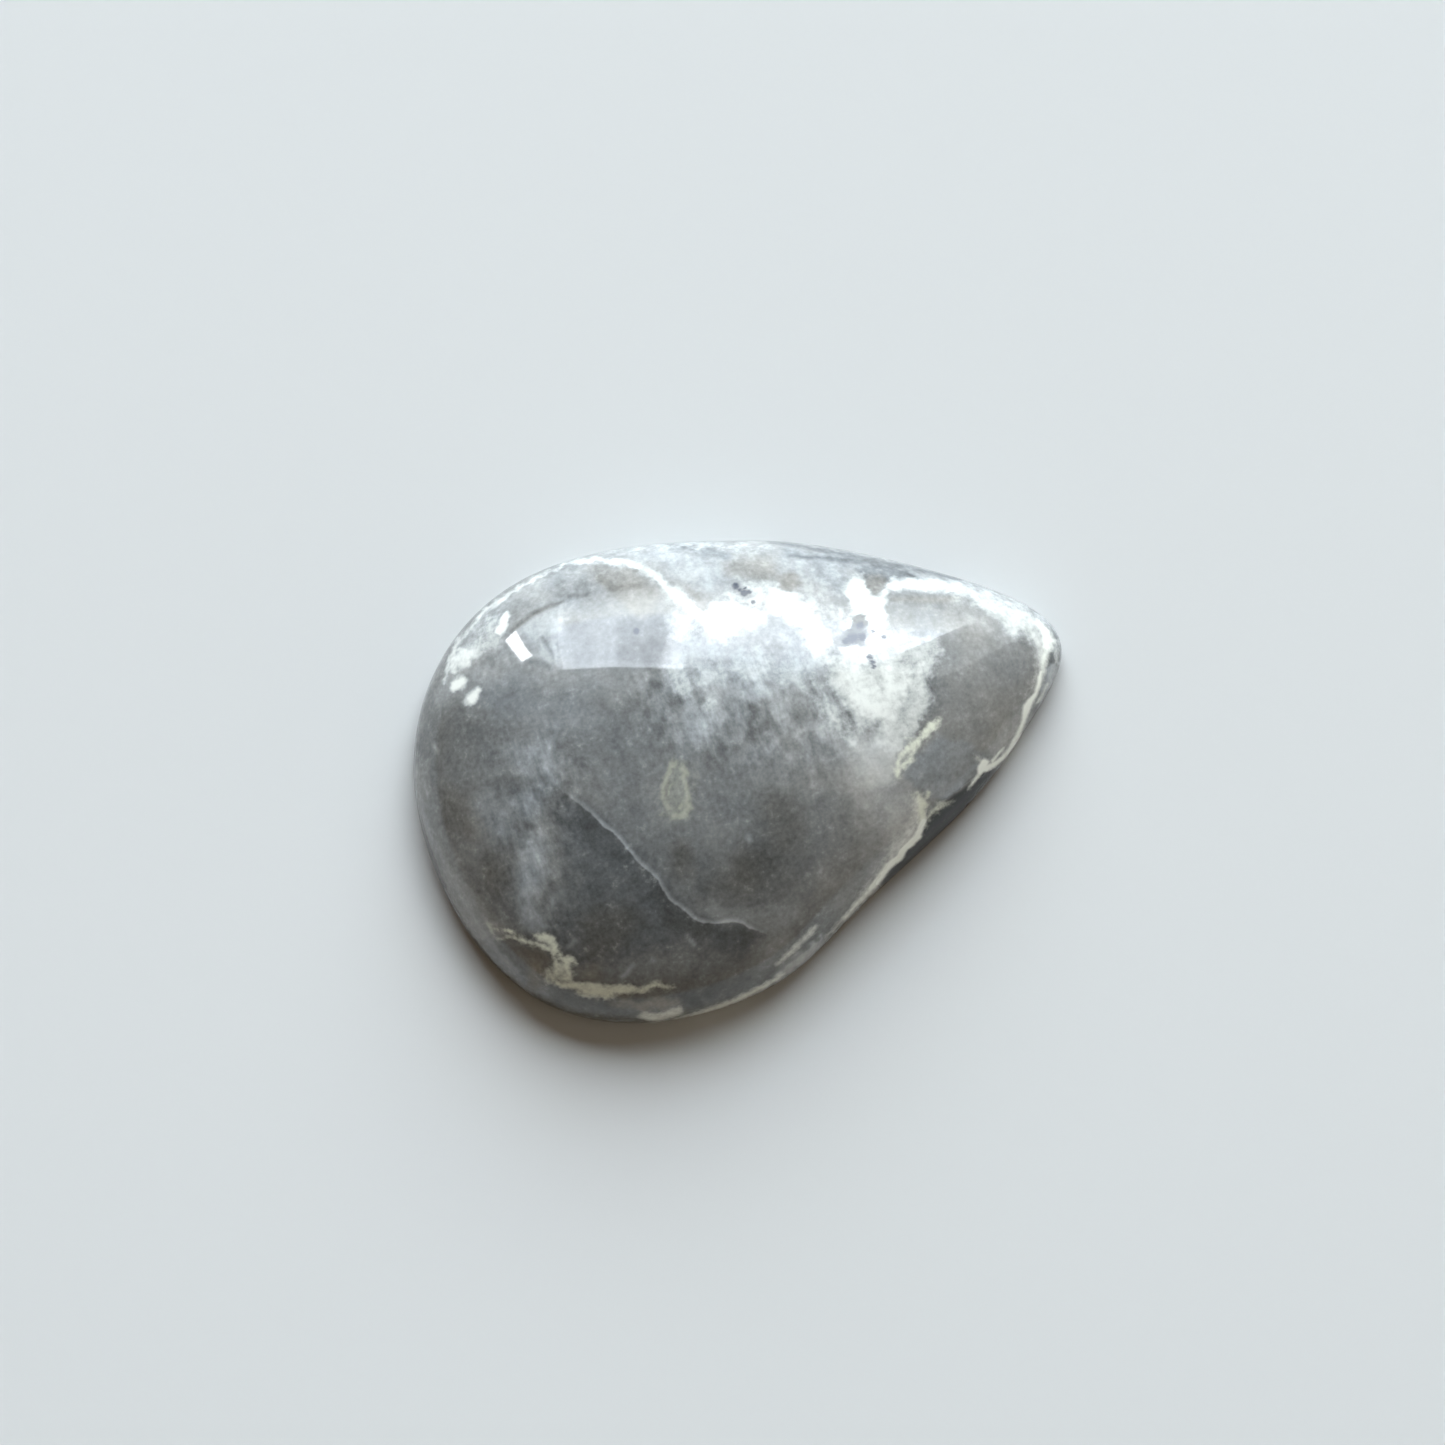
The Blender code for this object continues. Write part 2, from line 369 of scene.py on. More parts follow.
# Cream carbonate, ragged
CREAM_PATCHES = (
    (0.74, 7, [(553, 958), (562, 958), (572, 962), (572, 978), (566, 986), (556, 982), (548, 984),
               (541, 977), (542, 969), (550, 967)]),
)
CREAM_STROKES = (
    (1.05, 3, [(505, 931, 2.5), (511, 932, 2.5)]),
    (0.55, 4, [(484, 923, 1.5), (494, 928, 2), (512, 932, 2), (518, 936, 3)]),
    (0.85, 4, [(500, 938, 2), (510, 938, 2), (518, 938, 3), (525, 939, 3), (531, 942, 2.5), (537, 945, 3),
               (542, 947, 3), (548, 948, 3)]),
    (1.0, 4, [(534, 935, 2), (540, 938, 3.5), (546, 938, 5), (552, 941, 5.5), (555, 946, 4), (554, 952, 4)]),
    (1.0, 4, [(553, 953, 3.5), (555, 960, 3), (557, 967, 3.5), (556, 974, 3)]),
    (1.0, 4, [(559, 951, 2), (562, 957, 2.5), (566, 961, 4), (572, 961, 4), (575, 963, 2)]),
    (1.0, 4, [(567, 964, 4.5), (568, 972, 3.5), (568, 980, 4)]),
    (0.8, 5, [(547, 971, 4), (546, 978, 4), (546, 983, 2)]),
    (1.0, 4, [(556, 981, 3), (563, 985, 3), (571, 986, 4), (578, 986, 5), (585, 988, 6.5), (592, 990, 6.5),
              (600, 991, 6.5), (608, 991, 6)]),
    (0.9, 3, [(578, 993, 2), (588, 996, 2)]),
    (1.0, 3, [(604, 996, 3), (606, 999, 2)]),
    (0.8, 3, [(595, 996, 2), (598, 1000, 1)]),
    (1.0, 4, [(608, 990, 5.5), (616, 990, 5), (624, 990, 5.5), (632, 990, 4.5)]),
    (0.9, 4, [(632, 990, 4), (640, 990, 3), (648, 988, 3), (655, 985, 4), (662, 986, 3.5), (668, 986, 2.5),
              (675, 987, 1)]),
    (0.35, 4, [(484, 922, 2), (494, 934, 3)]),
    # The fleck below the white, in ragged pieces
    (1.1, 5, [(939, 722, 2.5), (933, 726, 4.5), (926, 731, 5), (922, 736, 3)]),
    (0.95, 5, [(921, 735, 3.5), (917, 741, 4), (913, 746, 4.5), (909, 751, 3)]),
    (0.6, 4, [(905, 738, 2), (911, 740, 3)]),
    (0.9, 4, [(914, 747, 2.5), (912, 754, 2.5), (909, 761, 3.2), (904, 767, 3)]),
    (1.0, 4, [(908, 748, 2.5), (903, 754, 3), (900, 761, 2.8), (898, 768, 3.5), (899, 776, 2.2)]),
    (0.8, 4, [(892, 767, 2), (897, 770, 3)]),
    # The two frayed ends over the ground wall
    (1.2, 6, [(918, 796, 3.5), (922, 804, 5), (922, 813, 5), (922, 822, 4)]),
    (0.8, 5, [(953, 800, 1), (946, 804, 2.2), (938, 809, 3), (931, 814, 3), (925, 819, 3)]),
    (0.8, 4, [(930, 793, 2.5), (925, 797, 3.5), (919, 801, 2)]),
    (0.6, 4, [(928, 804, 2.5), (924, 809, 2)]),
    (0.6, 4, [(911, 795, 2.5), (916, 798, 2.5)]),
)
# Ivory-coloured carbonate along the edges, smooth and nearly solid
IVORY_PATCHES = (
    (0.66, 4, [(640, 1013), (647, 1011), (655, 1013), (664, 1011), (672, 1008), (681, 1006), (684, 1010),
               (680, 1016), (670, 1019), (660, 1022), (650, 1022), (643, 1019), (636, 1017)]),
)
IVORY_STROKES = (
    # Along the right edge, from the point down to the ground wall
    (0.58, 4, [(1038, 622, 3), (1046, 632, 5), (1049, 642, 6.5), (1046, 652, 5), (1044, 664, 4.4),
               (1042, 674, 4), (1039, 685, 3)]),
    (1.1, 3.5, [(1041, 672, 1.5), (1039, 684, 2.2), (1036, 693, 1.8), (1031, 700, 2.7), (1027, 707, 4),
                (1025, 713, 3), (1024, 720, 1.8), (1021, 728, 1.8), (1018, 735, 2), (1014.5, 742, 2.2),
                (1011, 748, 2), (1007, 753, 1.7), (1003, 758, 1.7), (998, 762, 2), (991, 766, 2.6),
                (986, 768, 3.6)]),
    (1.1, 3, [(985, 762, 3.5), (982, 768, 4.5), (979, 773, 2)]),
    (0.5, 6, [(977, 757, 3), (982, 763, 4)]),
    (0.3, 7, [(1040, 655, 4), (1035, 680, 4), (1024, 704, 3)]),
    (0.75, 2.5, [(1004, 748, 1), (1000, 752, 1.3), (996, 757, 1.6), (993, 760, 2)]),
    (0.8, 2.5, [(980, 772, 2.5), (977, 777, 2), (973, 783, 1.5), (968, 789, 0.8)]),
    (0.6, 3, [(1048, 684, 1), (1044, 692, 1.6), (1040, 699, 1.6), (1037, 703, 1)]),
    # Over the ground wall, soft on its inner side
    (1.25, 3.5, [(924, 820, 2), (920, 828, 2.8), (918, 836, 3), (912, 842, 2.8), (905, 848, 2.6),
                 (902, 853, 3.2), (899, 858, 2.8), (893, 862, 3), (887, 867, 2.8), (883, 874, 2.8),
                 (878, 880, 2.8), (872, 887, 2.6)]),
    (0.66, 3, [(873, 886, 3), (868, 892, 3.2), (860, 901, 3.2), (852, 910, 3), (844, 918, 3)]),
    (0.46, 9, [(917, 800, 4), (916, 814, 5), (913, 828, 6), (906, 838, 7), (897, 849, 8), (889, 860, 5),
               (881, 872, 3), (873, 882, 3), (861, 894, 3)]),
    # Along the lower right edge
    (0.48, 4.5, [(846, 916, 3), (834, 929, 3), (826, 938, 2)]),
    (0.60, 4.5, [(776, 965, 1.5), (785, 957, 3), (795, 948, 3), (805, 938, 3.2), (812, 931, 3.5),
                 (817, 926, 1.5)]),
    (0.80, 4.5, [(784, 974, 1.5), (768, 984, 2.5), (755, 991, 3), (740, 999, 3), (722, 1006, 3),
                 (705, 1012, 2.5), (690, 1016, 1.6), (672, 1020, 1)]),
)
# The leaf-shaped ring, pale green
RING_PATCHES = (
    (0.39, 7, [(672, 762), (680, 760), (688, 766), (690, 780), (690, 800), (690, 812), (682, 819),
               (674, 818), (664, 810), (660, 800), (660, 790), (665, 776), (668, 768)]),
)
RING_STROKES = (
    (0.8, 5, [(673, 763, 3.5), (676, 765, 4)]),
    (0.90, 5, [(671, 768, 3.2), (668, 773, 3), (666, 779, 2.5), (664, 785, 2.5), (662, 791, 2.5),
               (662, 797, 2.5), (665, 803, 2.5), (669, 808, 2.5), (674, 809, 2)]),
    (0.90, 5, [(682, 768, 3.2), (685, 773, 3), (684, 780, 2.5), (686, 787, 2.5), (686, 795, 2.5),
               (687, 801, 3), (688, 808, 3.5), (685, 814, 3.5), (680, 817, 3.5), (674, 816, 3)]),
    (0.8, 3, [(673, 782, 1.5), (671, 787, 1.2), (669, 793, 1.8)]),
    (0.85, 3, [(680, 808, 2.5), (683, 806, 2)]),
    (0.5, 3, [(658, 815, 2), (664, 813, 2), (670, 814, 2)]),
    (0.3, 6, [(693, 765, 4), (695, 778, 4), (693, 790, 4)]),
    (0.4, 4, [(674, 756, 1.5), (674, 762, 2)]),
)
# The vein that parts the dark lower stone from the paler stone over it, how far its shade reaches, and
# over how many of its pieces it fades in at its upper end and out at its lower one
VEIN = [(546, 768), (556, 784), (562, 791), (570, 797), (580, 805), (590, 813), (600, 823), (605, 828),
        (612, 832), (620, 840), (628, 850), (636, 860), (645, 868), (652, 874), (658, 880), (662, 890),
        (668, 898), (675, 904), (685, 911), (693, 918), (703, 923), (715, 924), (725, 922), (735, 922),
        (742, 924), (748, 928), (757, 931), (765, 934), (772, 938)]
VEIN_REACH = 30.0
VEIN_ENDS = (7.0, 3.0)
# Dark specks and dots: place and radius. A speck's field starts from this at its middle and falls by
# one over each radius
SPECK_FIELD = 1.5
SPECKS = (
    (736, 586, 4.0), (740, 590, 2.2), (744, 593, 4.2), (749, 592, 2.4), (745, 588, 1.6), (753, 602, 2.6),
    (636, 631, 3.6), (873, 631, 2.6), (884, 637, 3.0), (870, 657, 3.3), (872, 662, 3.5), (874, 667, 2.7),
    (853, 638, 6.0), (860, 625, 4.6), (846, 641, 3.6), (862, 637, 4.4),
)
# How light and how warm the grey is, patch by patch, later ones over earlier ones: the lightness, the
# warmth, the fade and the outline. A few are painted light rather than the stone's own grey: a brown painted
# reflection along the far rim, a painted reflection of the paper and painted contact shadow along the lower
# left edge, and painted shade on the lower right wall
TONE_AND_PAINTED_REFLECTION_PATCHES = (
    (0.43, 0.25, 50, [(560, 680), (900, 690), (860, 850), (700, 900), (600, 800)]),
    (0.485, 0.45, 25, [(740, 750), (800, 750), (850, 780), (830, 810), (770, 800)]),
    (0.55, 0.30, 22, [(400, 560), (600, 500), (900, 520), (1080, 560), (1080, 640), (1000, 640), (900, 660),
                      (700, 650), (560, 676), (400, 700)]),
    (0.60, 0.28, 14, [(470, 625), (500, 598), (560, 568), (620, 540), (720, 530), (850, 540), (950, 565),
                      (1040, 600), (1050, 640), (1010, 606), (930, 596), (850, 600), (720, 600), (690, 600),
                      (620, 575), (570, 575), (545, 600), (520, 620), (490, 650), (455, 675), (450, 650)]),
    (0.54, 0.25, 10, [(478, 636), (492, 612), (512, 600), (524, 606), (514, 632), (510, 660), (484, 668)]),
    (0.655, 0.15, 7, [(518, 628), (545, 604), (574, 600), (574, 640), (562, 668), (542, 664), (530, 645)]),
    (0.54, 0.15, 8, [(570, 602), (620, 606), (680, 612), (680, 624), (600, 622), (570, 618)]),
    (0.44, 0.10, 9, [(566, 620), (600, 618), (640, 618), (690, 620), (692, 664), (640, 666), (566, 668)]),
    (0.37, 0.10, 8, [(622, 642), (682, 640), (684, 664), (622, 664)]),
    (0.655, 0.15, 10, [(632, 552), (660, 548), (690, 552), (724, 556), (735, 566), (722, 584), (706, 596),
                      (694, 590), (672, 570)]),
    (0.52, 0.00, 5, [(668, 546), (690, 545), (718, 549), (728, 556), (712, 557), (690, 553), (672, 551)]),
    (0.55, 0.05, 5, [(784, 550), (810, 551), (850, 558), (880, 566), (850, 566), (810, 560), (786, 558)]),
    (0.52, 0.25, 18, [(440, 676), (620, 668), (640, 690), (560, 694), (500, 690), (440, 696)]),
    (0.395, 0.30, 22, [(425, 722), (450, 710), (478, 716), (492, 740), (465, 760), (432, 750)]),
    (0.37, 0.60, 20, [(443, 795), (470, 795), (482, 815), (474, 838), (450, 828)]),
    (0.37, 0.60, 14, [(486, 858), (500, 855), (504, 882), (495, 897), (480, 880)]),
    (0.47, 0.10, 16, [(470, 800), (500, 790), (512, 820), (506, 845), (492, 835), (478, 820)]),
    (0.465, 0.10, 16, [(470, 690), (560, 690), (600, 720), (560, 735), (510, 720)]),
    (0.50, 0.05, 16, [(510, 752), (535, 735), (555, 745), (562, 770), (552, 786), (528, 778)]),
    (0.47, 0.05, 12, [(516, 790), (545, 786), (540, 806), (530, 820), (516, 812)]),
    (0.585, 0.05, 12, [(522, 838), (541, 840), (546, 880), (536, 898), (548, 926), (530, 930), (518, 895)]),
    (0.50, 0.10, 7, [(548, 890), (566, 886), (577, 880), (566, 900), (550, 910)]),
    (0.545, 0.40, 9, [(412, 772), (424, 768), (432, 800), (446, 840), (466, 880), (492, 912), (506, 930),
                      (490, 948), (460, 925), (435, 885), (412, 830)]),
    (0.54, 0.15, 6, [(490, 946), (502, 955), (514, 966), (528, 978), (546, 990), (548, 1000), (526, 990),
                     (506, 975), (490, 956)]),
    (0.365, 0.05, 14, [(556, 812), (572, 800), (590, 806), (612, 830), (640, 860), (665, 890), (690, 915),
                       (740, 925), (775, 938), (768, 955), (730, 950), (690, 945), (650, 957), (600, 970),
                       (566, 962), (550, 930), (562, 890), (566, 850)]),
    (0.33, 0.10, 12, [(575, 808), (592, 812), (600, 835), (585, 842), (572, 828)]),
    (0.335, 0.45, 14, [(585, 915), (612, 905), (640, 915), (632, 935), (612, 955), (590, 962), (580, 940)]),
    (0.335, 0.15, 9, [(652, 888), (668, 894), (690, 916), (712, 925), (702, 938), (676, 930), (658, 912)]),
    (0.445, 0.20, 10, [(600, 966), (640, 960), (700, 958), (760, 960), (765, 970), (720, 976), (680, 980),
                      (640, 980), (610, 978)]),
    (0.44, 0.70, 7, [(580, 968), (598, 966), (604, 974), (598, 982), (584, 980)]),
    (0.375, 0.50, 22, [(768, 795), (797, 812), (800, 850), (780, 890), (745, 905), (705, 897), (700, 880),
                       (738, 860), (760, 835)]),
    (0.335, 0.60, 14, [(735, 856), (760, 850), (764, 868), (748, 888), (734, 880)]),
    (0.38, 0.60, 10, [(672, 845), (690, 845), (692, 876), (675, 876)]),
    (0.39, 0.60, 9, [(768, 800), (790, 802), (795, 840), (780, 850), (766, 830)]),
    (0.51, 0.30, 9, [(708, 905), (750, 912), (800, 905), (792, 932), (774, 932), (752, 924), (720, 919)]),
    (0.50, 0.30, 12, [(762, 940), (790, 934), (786, 955), (768, 968), (756, 958)]),
    (0.50, 0.45, 26, [(800, 740), (880, 700), (960, 760), (920, 840), (885, 890), (840, 912), (820, 880),
                      (846, 845), (838, 790), (812, 770)]),
    (0.59, 0.45, 18, [(835, 745), (870, 758), (905, 780), (924, 800), (910, 850), (884, 880), (866, 868),
                      (868, 832), (856, 800), (842, 775)]),
    (0.66, 0.45, 9, [(888, 800), (925, 797), (920, 830), (905, 858), (882, 884), (868, 896), (876, 870),
                     (892, 840)]),
    (0.50, 0.25, 24, [(652, 672), (700, 664), (830, 668), (856, 700), (842, 745), (815, 765), (770, 768),
                      (740, 760), (720, 740), (690, 735), (664, 720)]),
    (0.56, 0.20, 12, [(660, 668), (700, 668), (760, 668), (820, 668), (835, 690), (826, 706), (800, 702),
                      (780, 706), (770, 700), (735, 700), (705, 706), (690, 700), (672, 692)]),
    (0.64, 0.12, 13, [(690, 636), (760, 650), (815, 650), (822, 676), (790, 684), (750, 680), (700, 682),
                      (676, 680), (676, 650)]),
    (0.72, 0.45, 13, [(852, 736), (900, 736), (902, 762), (892, 782), (876, 784), (860, 766)]),
    (0.61, 0.15, 9, [(730, 682), (760, 680), (775, 690), (766, 700), (742, 698)]),
    (0.60, 0.15, 8, [(680, 702), (696, 700), (702, 713), (690, 720)]),
    (0.44, 0.30, 8, [(664, 696), (677, 698), (680, 712), (668, 716)]),
    (0.58, 0.20, 9, [(688, 712), (714, 706), (722, 720), (706, 738), (682, 740)]),
    (0.43, 0.30, 8, [(752, 704), (765, 705), (768, 722), (758, 738), (750, 724)]),
    (0.575, 0.20, 8, [(774, 704), (788, 706), (790, 722), (778, 724)]),
    (0.49, 0.30, 9, [(792, 710), (808, 712), (808, 730), (796, 732)]),
    (0.61, 0.25, 9, [(796, 682), (812, 684), (814, 698), (798, 698)]),
    (0.45, 0.30, 10, [(728, 738), (752, 740), (750, 756), (732, 754)]),
    (0.50, 0.35, 10, [(782, 732), (800, 736), (800, 752), (782, 750)]),
    (0.61, 0.35, 9, [(814, 728), (836, 726), (852, 736), (846, 750), (824, 746)]),
    (0.495, 0.45, 12, [(942, 650), (965, 630), (1000, 620), (1028, 640), (1032, 680), (1016, 716),
                       (985, 745), (950, 742), (936, 720), (942, 690)]),
    (0.585, 0.35, 12, [(972, 612), (1000, 614), (1020, 628), (1012, 640), (990, 632), (966, 622)]),
    (0.525, 0.50, 13, [(1000, 696), (1024, 676), (1036, 690), (1024, 720), (1002, 745), (978, 756),
                       (970, 742), (988, 736), (1002, 716)]),
    (0.465, 0.30, 10, [(930, 655), (942, 640), (956, 642), (958, 662), (942, 680), (932, 678)]),
    (0.545, 0.10, 8, [(916, 612), (938, 610), (940, 626), (926, 634), (912, 626)]),
    (0.525, 0.10, 5, [(905, 766), (914, 758), (928, 744), (944, 738), (965, 742), (984, 756), (978, 768),
                      (968, 784), (950, 797), (930, 796), (914, 788), (904, 778)]),
    (0.61, 0.00, 7, [(934, 786), (952, 780), (962, 787), (948, 799), (932, 797)]),
    (0.57, 0.50, 6, [(1036, 640), (1046, 650), (1040, 690), (1024, 726), (1006, 752), (988, 760), (990, 748),
                     (1014, 722), (1030, 690)]),
    (0.69, 0.15, 5, [(1047, 668), (1056, 668), (1055, 684), (1046, 698), (1040, 704), (1042, 690)]),
    # A painted reflection: the brown streaks along the far rim
    (0.545, 0.50, 7, [(582, 568), (600, 564), (622, 566), (640, 573), (652, 588), (656, 602), (648, 616),
                      (632, 613), (618, 602), (604, 588)]),
    (0.54, 0.50, 7, [(724, 564), (738, 556), (758, 556), (774, 564), (776, 576), (764, 582), (742, 578),
                     (728, 576)]),
    (0.62, 0.20, 7, [(778, 556), (796, 560), (806, 574), (800, 584), (784, 576)]),
    (0.50, 0.50, 6, [(686, 588), (698, 590), (709, 599), (704, 611), (694, 605)]),
    (0.50, 0.60, 5, [(780, 576), (794, 574), (798, 586), (790, 592), (780, 588)]),
    (0.465, 0.00, 3, [(855, 563), (880, 566), (925, 579), (924, 584), (900, 580), (880, 582), (866, 576)]),
    (0.59, 0.15, 8, [(806, 560), (830, 566), (846, 576), (840, 592), (822, 586), (808, 576)]),
    (0.42, 0.10, 4, [(842, 632), (850, 622), (857, 611), (867, 616), (866, 640), (852, 647), (841, 643)]),
    (0.48, 0.50, 5, [(868, 576), (885, 577), (882, 588), (874, 594), (869, 586)]),
    (0.36, 0.30, 5, [(560, 992), (600, 1001), (640, 999), (680, 996), (742, 975), (748, 984), (700, 1004),
                     (640, 1006), (600, 1008), (570, 1002)]),
    (0.38, 0.95, 5, [(606, 1000), (622, 998), (638, 1001), (632, 1008), (612, 1007)]),
    (0.515, 0.95, 4, [(616, 1001), (640, 1000), (664, 998), (682, 1000), (676, 1007), (650, 1010),
                      (634, 1009), (620, 1007)]),
    (0.435, 0.45, 8, [(498, 946), (514, 946), (522, 956), (520, 968), (508, 962)]),
    (0.40, 0.90, 6, [(518, 946), (530, 945), (541, 951), (548, 957), (548, 965), (540, 963), (528, 958)]),
    (0.46, 1.00, 6, [(530, 962), (541, 964), (541, 974), (541, 990), (530, 984)]),
    (0.43, 0.10, 6, [(556, 1002), (600, 1009), (640, 1011), (640, 1022), (590, 1016)]),
    (0.68, 0.30, 5, [(774, 976), (784, 967), (796, 957), (806, 948), (815, 941), (824, 936), (822, 947),
                     (812, 959), (800, 968), (788, 976), (777, 982)]),
)
TONE_AND_PAINTED_LIGHT_STROKES = (
    (0.42, 0.00, 2.5, [(770, 541, 1.5), (830, 551, 2), (900, 566, 2.5), (960, 579, 1.5)]),
    (0.43, 0.00, 2.5, [(790, 556, 1), (840, 559, 2), (870, 562, 2.5), (900, 572, 2.5), (920, 580, 1)]),
    (0.39, 0.50, 2.5, [(669, 780, 1), (667, 786, 1.5), (665, 792, 2), (668, 799, 1)]),
    (0.42, 0.35, 3, [(512, 630, 1.5), (522, 622, 2), (535, 613, 2.5), (550, 606, 2), (564, 601, 1)]),
    (0.47, 0.35, 3, [(568, 597, 1.5), (580, 595, 2), (592, 592, 1)]),
    (0.54, 0.10, 2.5, [(687, 936, 1.5), (690, 940, 1.5), (694, 944, 2.5)]),
    (0.54, 0.10, 3, [(652, 960, 2.5), (653, 961, 2.5)]),
    (0.56, 0.10, 3, [(622, 977, 2.5), (627, 973, 3), (633, 965, 2)]),
    (0.52, 0.10, 4, [(570, 946, 2), (574, 941, 3)]),
    (0.56, 0.40, 3, [(434, 746, 2), (436, 751, 2)]),
    (0.55, 0.20, 3, [(749, 836, 2), (750, 840, 2)]),
    # A darker streak in the brown painted reflection along the far rim
    (0.47, 0.60, 4, [(600, 578, 2), (612, 588, 3), (640, 586, 2)]),
    (0.50, 0.10, 3, [(542, 638, 1), (548, 646, 1.5), (552, 654, 1)]),
    (0.47, 0.10, 4, [(530, 661, 2), (544, 664, 3), (550, 668, 2)]),
    (0.44, 0.30, 4, [(418, 740, 2), (424, 712, 4), (434, 688, 4), (448, 658, 3.5), (462, 632, 3),
                     (480, 610, 3), (500, 592, 2.5), (526, 576, 2), (552, 565, 1.5)]),
    # More of the brown painted reflection along the far rim, to the right
    (0.56, 0.60, 4, [(892, 599, 2), (915, 599, 3), (940, 600, 2.5), (960, 597, 2)]),
    (0.46, 0.10, 3, [(1044, 627, 1.5), (1050, 632, 2.5), (1055, 638, 1.5)]),
    (0.38, 0.10, 2.5, [(1052, 653, 1.5), (1050, 659, 3), (1048, 665, 2)]),
    (0.50, 0.10, 3, [(1046, 677, 1.5), (1044, 681, 1.5)]),
    (0.50, 0.00, 2.5, [(1030, 606, 0.5), (1041, 613, 1), (1049, 621, 1.5), (1057, 631, 1.8),
                       (1061, 641, 1.8), (1062, 651, 2), (1060, 662, 1.5)]),
    # The dark band on the lower right wall: partly the stone's own dark rock, partly painted shade where the
    # wall faces away from the light
    (0.10, 0.80, 3, [(993, 771, 2), (977, 787, 6), (957, 806, 11), (941, 823, 13), (924, 842, 9),
                     (908, 858, 6), (895, 871, 4), (883, 884, 2)]),
    (0.56, 0.05, 4, [(553, 738, 2), (548, 752, 3), (545, 766, 3), (556, 782, 2)]),
    # Along the stone's left edge and round below it: a light line, which is a painted reflection of the
    # paper in the steep edge, and two dark ones outside it, which are painted contact shadow where the edge
    # meets the paper
    (0.60, 0.30, 4, [(417, 788, 1), (420, 803, 2.5), (425, 820, 3), (432, 838, 3), (440, 856, 2.5),
                     (450, 876, 2), (462, 898, 2), (474, 918, 2), (487, 938, 2.2), (500, 955, 2),
                     (516, 972, 1.5)]),
    (0.32, 0.50, 2.5, [(413, 790, 0.5), (416, 806, 1), (421, 826, 1.8), (427, 846, 2.2), (434, 866, 2.5),
                       (443, 887, 3)]),
    (0.22, 0.60, 2.5, [(442, 888, 2.5), (452, 908, 2.5), (464, 928, 2.5), (481, 952, 3), (501, 974, 3),
                       (521, 991, 2.5), (541, 1003, 2), (558, 1010, 1)]),
)
# Where the grey is streaked rather than even: how strongly, the fade, the outline
HAZE_PATCHES = (
    (1.0, 30, [(650, 660), (850, 660), (870, 720), (850, 750), (800, 770), (700, 760), (650, 730)]),
    (0.4, 20, [(450, 650), (560, 570), (700, 540), (900, 560), (1040, 600), (1040, 640), (900, 600),
               (700, 600), (620, 600), (560, 660), (470, 680)]),
    (0.9, 30, [(500, 740), (570, 740), (580, 800), (560, 900), (570, 930), (520, 930), (500, 850)]),
)
# Where the wall is ground rather than polished, besides the bevel and the back
GROUND_STROKES = (
    (1.0, 4, [(990, 770, 2), (975, 785, 6), (955, 805, 12), (940, 820, 12), (920, 842, 10), (900, 862, 8),
              (880, 883, 5)]),
)
# The lightness and warmth of the stone where no patch changes them
BASE_TONE = 0.425
BASE_WARMTH = 0.28
# How far, in pixels, small waves lead patches, strokes and smooth lines astray. Each wave has its length
# in pixels and its share of that, and up and down it is shorter by the ratio
PATCH_DRIFT = 1.4
STROKE_DRIFT = 0.8
LINE_DRIFT = 0.2
DRIFT_WAVES = ((37.0, 1.0), (19.0, 0.8), (11.0, 0.7), (6.0, 0.5))
DRIFT_RATIO = 1.3
# How many samples round off each span of a patch's outline
ROUNDING_STEPS = 3


def distance_to_line(pixels, line, closed):
    """Distance of each pixel to the nearest piece of a broken line, which piece, and how far along it."""
    starts = np.array(line, float)[:, :2]
    ends = np.roll(starts, -1, axis=0)
    if not closed:
        starts, ends = starts[:-1], ends[:-1]
    run = ends - starts
    offset = pixels[:, None, :] - starts
    share = np.clip((offset * run).sum(-1) / (run**2).sum(-1), 0.0, 1.0)
    gap = np.linalg.norm(offset - share[..., None] * run, axis=-1)
    nearest = gap.argmin(axis=1)
    rows = np.arange(len(pixels))
    return gap[rows, nearest], nearest, share[rows, nearest]


def closed_curve(points, steps):
    """The smooth closed curve through every point, with this many samples for each of its spans."""
    t, before, start, end, after = spans(points, steps)
    bend = 2 * before - 5 * start + 4 * end - after
    twist = 3 * start - before - 3 * end + after
    return (start + ((end - before) * t + bend * t**2 + twist * t**3) / 2).reshape(-1, 2)


def inside_patch(pixels, outline):
    """Distance in pixels to the rounded outline, positive inside. Inside is where a ray crosses it oddly."""
    corners = closed_curve(np.array(outline, float), ROUNDING_STEPS)
    gap, _, _ = distance_to_line(pixels, corners, True)
    x, y = pixels[:, :1], pixels[:, 1:]
    x0, y0 = corners.T
    x1, y1 = np.roll(corners, -1, axis=0).T
    level = (y0 > y) != (y1 > y)
    crosses = level & (((x - x0) * (y1 - y0) < (y - y0) * (x1 - x0)) == (y1 > y0))
    return np.where(crosses.sum(axis=1) % 2 == 1, gap, -gap)


def inside_stroke(pixels, stroke):
    """Distance in pixels to the edge of a stroke of changing width, positive on the stroke."""
    gap, piece, share = distance_to_line(pixels, stroke, False)
    widths = np.array(stroke, float)[:, 2]
    return widths[piece] + share * (widths[piece + 1] - widths[piece]) - gap


def eased(share):
    """A share, held between 0 and 1 and eased at both ends."""
    share = np.clip(share, 0.0, 1.0)
    return share * share * (3 - 2 * share)


def drifted(pixels, reach):
    """Pixels led astray by sine waves of falling length, each turned by the golden angle from the last."""
    moved = pixels.copy()
    for index, (length, share) in enumerate(DRIFT_WAVES):
        heading = index * np.pi * (3 - np.sqrt(5))
        phase = (pixels[:, 0] * np.cos(heading) + pixels[:, 1] * np.sin(heading)) * 2 * np.pi / length
        moved[:, 0] += reach * share * np.sin(phase + index)
        moved[:, 1] += reach * share * np.cos(DRIFT_RATIO * phase + 2 * index)
    return moved


